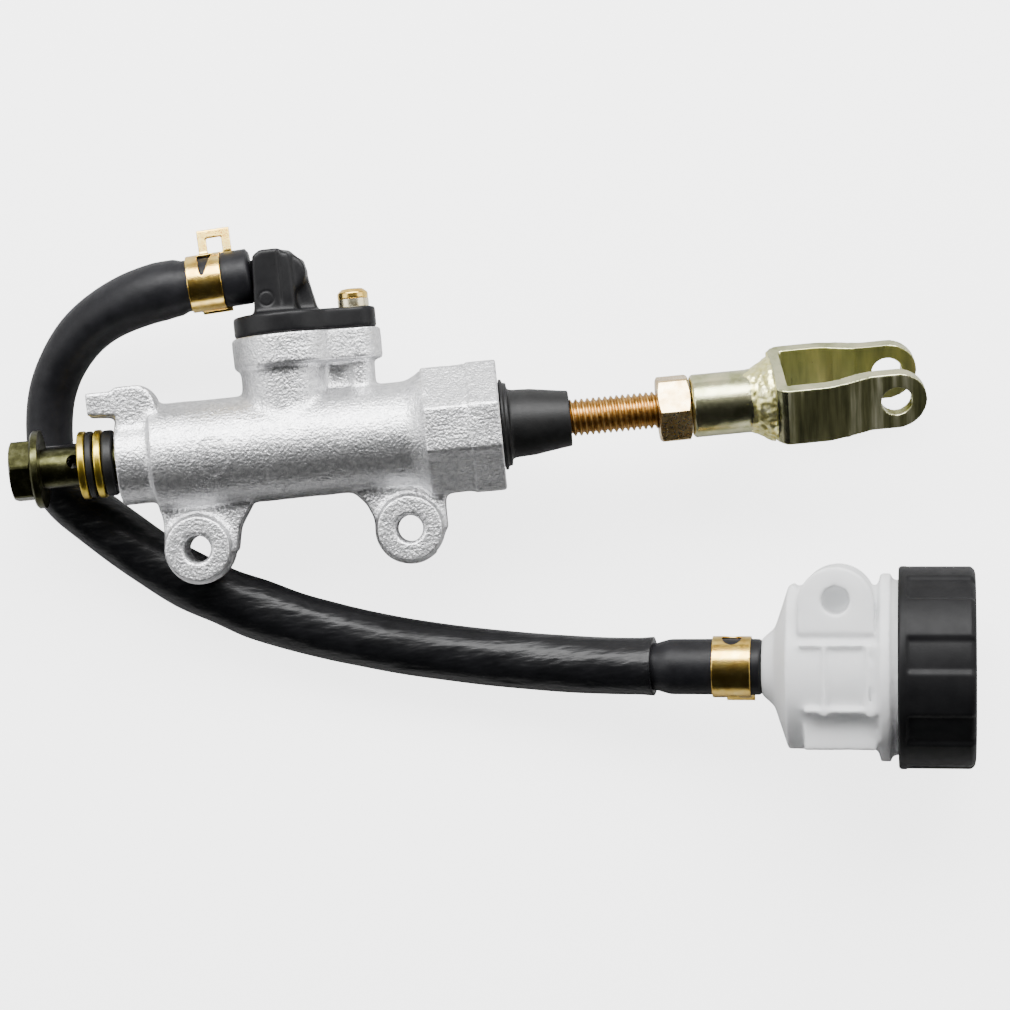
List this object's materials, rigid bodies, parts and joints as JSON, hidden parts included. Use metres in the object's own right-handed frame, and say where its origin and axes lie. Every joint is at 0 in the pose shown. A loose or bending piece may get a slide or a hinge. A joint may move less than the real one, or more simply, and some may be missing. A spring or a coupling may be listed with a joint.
{
  "type": "brake master cylinder",
  "caption": "Rear brake master cylinder with bolt-on lugs, adjustable clevis pushrod, banjo outlet and a hose to a remote screw-cap reservoir.",
  "frame": {"origin": "midpoint of the two mounting holes on the lugs' back faces", "axes": "+X along the cylinder towards the clevis, +Y towards the fluid inlet, +Z out of the front of the lugs"},
  "size_m": [0.2032, 0.1299, 0.0447],
  "materials": {
    "cast_aluminium": "silver-painted rough casting",
    "black_plastic": "satin moulded",
    "black_rubber": "satin",
    "hose_rubber": "matte",
    "sleeve_vinyl": "soft gloss",
    "clamp_gold": "yellow zinc plate",
    "zinc_bright": "yellow zinc plate",
    "zinc_iridescent": "iridescent zinc chromate",
    "zinc_olive": "dark olive zinc chromate",
    "weld_yellow": "rough weld under zinc plate",
    "rod_bronze": "bronze-gold zinc plate",
    "spring_steel": "plain steel",
    "machined_aluminium": "anodised",
    "brass_ring": "turned",
    "milky_plastic": "translucent polyethylene"
  },
  "bodies": {
    "housing": {"cylinder_casting": "cast_aluminium", "inlet_elbow": "black_plastic", "elbow_o_ring": "black_rubber", "elbow_screw": "zinc_bright", "elbow_lock_washer": "zinc_bright", "hose": "hose_rubber", "hose_sleeve": "sleeve_vinyl", "hose_clamp_inlet": "clamp_gold", "hose_clamp_reservoir": "clamp_gold", "reservoir_body": "milky_plastic", "circlip": "spring_steel", "boot": "black_rubber", "return_spring": "spring_steel"},
    "piston_group": {"piston": "machined_aluminium", "primary_cup": "black_rubber", "secondary_cup": "black_rubber", "spring_seat": "spring_steel"},
    "rod_swing": {"rod_stop_washer": "spring_steel"},
    "pushrod_group": {"pushrod": "rod_bronze"},
    "lock_nut_group": {"lock_nut": "zinc_bright"},
    "clevis_group": {"clevis_barrel": "zinc_iridescent", "clevis_fork": "zinc_iridescent", "clevis_weld": "weld_yellow"},
    "diaphragm_group": {"cap_diaphragm": "black_rubber", "diaphragm_plate": "milky_plastic"},
    "cap_group": {"reservoir_cap": "black_plastic"},
    "banjo_seals": {"banjo_washer_outer": "brass_ring", "banjo_seal_outer": "black_rubber", "banjo_washer_inner": "brass_ring", "banjo_seal_inner": "black_rubber"},
    "banjo_bolt_group": {"banjo_bolt": "zinc_olive"}
  },
  "joints": [
    {"name": "piston_slide", "type": "slide", "parent": "housing", "child": "piston_group", "axis": [-1, 0, 0], "range_m": [0, 0.0095], "stiffness_N_per_m": 1500, "springref_m": -0.01, "deforming": ["return_spring", "boot"]},
    {"name": "pushrod_tilt", "type": "hinge", "parent": "piston_group", "child": "rod_swing", "pos_m": [0.0295, 0.02, 0.0085], "axis": [0, 0, 1], "range_deg": [-2.5, 2.5], "deforming": ["boot"]},
    {"name": "pushrod_spin", "type": "hinge", "parent": "rod_swing", "child": "pushrod_group", "pos_m": [0.0295, 0.02, 0.0085], "axis": [1, 0, 0], "continuous": true},
    {"name": "clevis_feed", "type": "slide", "parent": "pushrod_group", "child": "lock_nut_group", "axis": [1, 0, 0], "range_m": [-0.005, 0.00625]},
    {"name": "clevis_turn", "type": "hinge", "parent": "lock_nut_group", "child": "clevis_group", "pos_m": [0.0843, 0.02, 0.0085], "axis": [1, 0, 0], "range_deg": [-1440.1, 1800.1]},
    {"name": "cap_lift", "type": "slide", "parent": "housing", "child": "diaphragm_group", "axis": [0.9852, -0.092, 0.1445], "range_m": [0, 0.012]},
    {"name": "cap_turn", "type": "hinge", "parent": "diaphragm_group", "child": "cap_group", "pos_m": [0.12307, -0.03957, 0.00779], "axis": [0.9852, -0.092, 0.1445], "range_deg": [0, 1440.1]},
    {"name": "banjo_feed", "type": "slide", "parent": "housing", "child": "banjo_seals", "axis": [-1, 0, 0], "range_m": [-0.00063, 0.00625]},
    {"name": "banjo_turn", "type": "hinge", "parent": "banjo_seals", "child": "banjo_bolt_group", "pos_m": [-0.055, 0.02, 0.0085], "axis": [-1, 0, 0], "range_deg": [-180.1, 1800.1]}
  ],
  "couplings": [
    {"joint": "clevis_turn", "follows": "clevis_feed", "rad_per_m": 5026.5},
    {"joint": "cap_turn", "follows": "cap_lift", "rad_per_m": 2094.4},
    {"joint": "banjo_turn", "follows": "banjo_feed", "rad_per_m": 5026.5}
  ]
}
